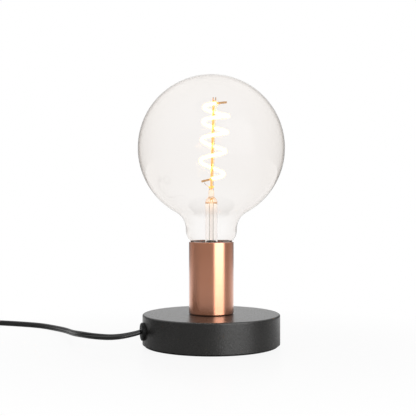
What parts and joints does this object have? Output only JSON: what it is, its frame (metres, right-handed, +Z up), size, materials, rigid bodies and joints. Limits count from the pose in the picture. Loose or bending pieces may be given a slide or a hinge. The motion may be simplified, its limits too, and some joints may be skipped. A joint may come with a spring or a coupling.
{
  "type": "bare bulb table lamp",
  "caption": "Table lamp with a large clear globe bulb standing on a metal sleeve and a weighted drum base, with a flex, in-line switch, coil and plug.",
  "frame": {"origin": "centre of the base's underside, on the table", "axes": "+Z up along the lamp's axis, -Y to the front, the flex leaves the base on the -X side"},
  "size_m": [0.3514, 0.275, 0.2298],
  "materials": {
    "dark_paint": "satin fine-textured anthracite powder coat",
    "cast_weight": "rough casting",
    "zinc_steel": "zinc plated",
    "foam_pad": "matte dark foam",
    "black_plastic": "satin moulded",
    "white_plastic": "moulded",
    "brushed_copper": "fine brushing round the sleeve, satin lacquer",
    "ceramic_white": "glazed steatite",
    "brass_parts": "bright",
    "black_flex": "smooth sheath with a soft shine",
    "brown_core": "core insulation",
    "blue_core": "core insulation",
    "tie_plastic": "thin band",
    "rocker_plastic": "polished",
    "pin_nickel": "nickel plated",
    "clear_glass": "clear blown glass with a faint warm tint",
    "cap_nickel": "nickel plated shell",
    "insulator_glass": "black vitrite",
    "stem_glass": "clear lead glass",
    "filament_glow": "lit, warm white",
    "tab_metal": "heat-tinted metal",
    "board_green": "circuit board",
    "component_black": "moulded component"
  },
  "bodies": {
    "stand": {"base_drum": "dark_paint", "ballast_weight": "cast_weight", "base_plate": "zinc_steel", "anti_slip_pad": "foam_pad", "base_screws": "zinc_steel", "flex_bush": "black_plastic", "anchor_block": "white_plastic", "anchor_bar": "white_plastic", "anchor_screws": "zinc_steel", "threaded_nipple": "zinc_steel", "lock_washer": "zinc_steel", "hex_nut": "zinc_steel", "metal_sleeve": "brushed_copper", "holder_dome": "black_plastic", "holder_skirt": "black_plastic", "terminal_insert": "ceramic_white", "screw_shell": "brass_parts", "centre_tongue": "brass_parts", "contact_rivets": "brass_parts", "terminal_screws": "brass_parts", "flex_inside": "black_flex", "live_core": "brown_core", "neutral_core": "blue_core", "flex_run": "black_flex", "flex_lead": "black_flex", "flex_coil": "black_flex", "flex_tail": "black_flex", "coil_tie": "tie_plastic", "switch_base": "black_plastic", "switch_cover": "black_plastic", "switch_screws": "zinc_steel", "switch_terminals": "brass_parts", "plug_body": "black_plastic", "plug_pins": "pin_nickel"},
    "bulb_foot": {"cap_contact": "brass_parts"},
    "bulb": {"glass_globe": "clear_glass", "cap_shell": "cap_nickel", "cap_insulator": "insulator_glass", "stem_glass": "stem_glass", "exhaust_tube": "stem_glass", "support_rod": "stem_glass", "lead_wires": "pin_nickel", "filament_spiral": "filament_glow", "filament_tabs": "tab_metal", "driver_board": "board_green", "driver_parts": "component_black"},
    "rocker": {"switch_rocker": "rocker_plastic"}
  },
  "joints": [
    {"name": "bulb_rise", "type": "slide", "parent": "stand", "child": "bulb_foot", "axis": [0, 0, 1], "range_m": [0, 0.0105]},
    {"name": "bulb_unscrew", "type": "hinge", "parent": "bulb_foot", "child": "bulb", "pos_m": [0, 0, 0.0558], "axis": [0, 0, 1], "range_deg": [0, 1035]},
    {"name": "switch_rock", "type": "hinge", "parent": "stand", "child": "rocker", "pos_m": [-0.26995, 0.047, 0.0142], "axis": [-1, 0, 0], "range_deg": [0, 14]}
  ],
  "couplings": [
    {"joint": "bulb_rise", "follows": "bulb_unscrew", "m_per_rad": 0.00057757}
  ]
}
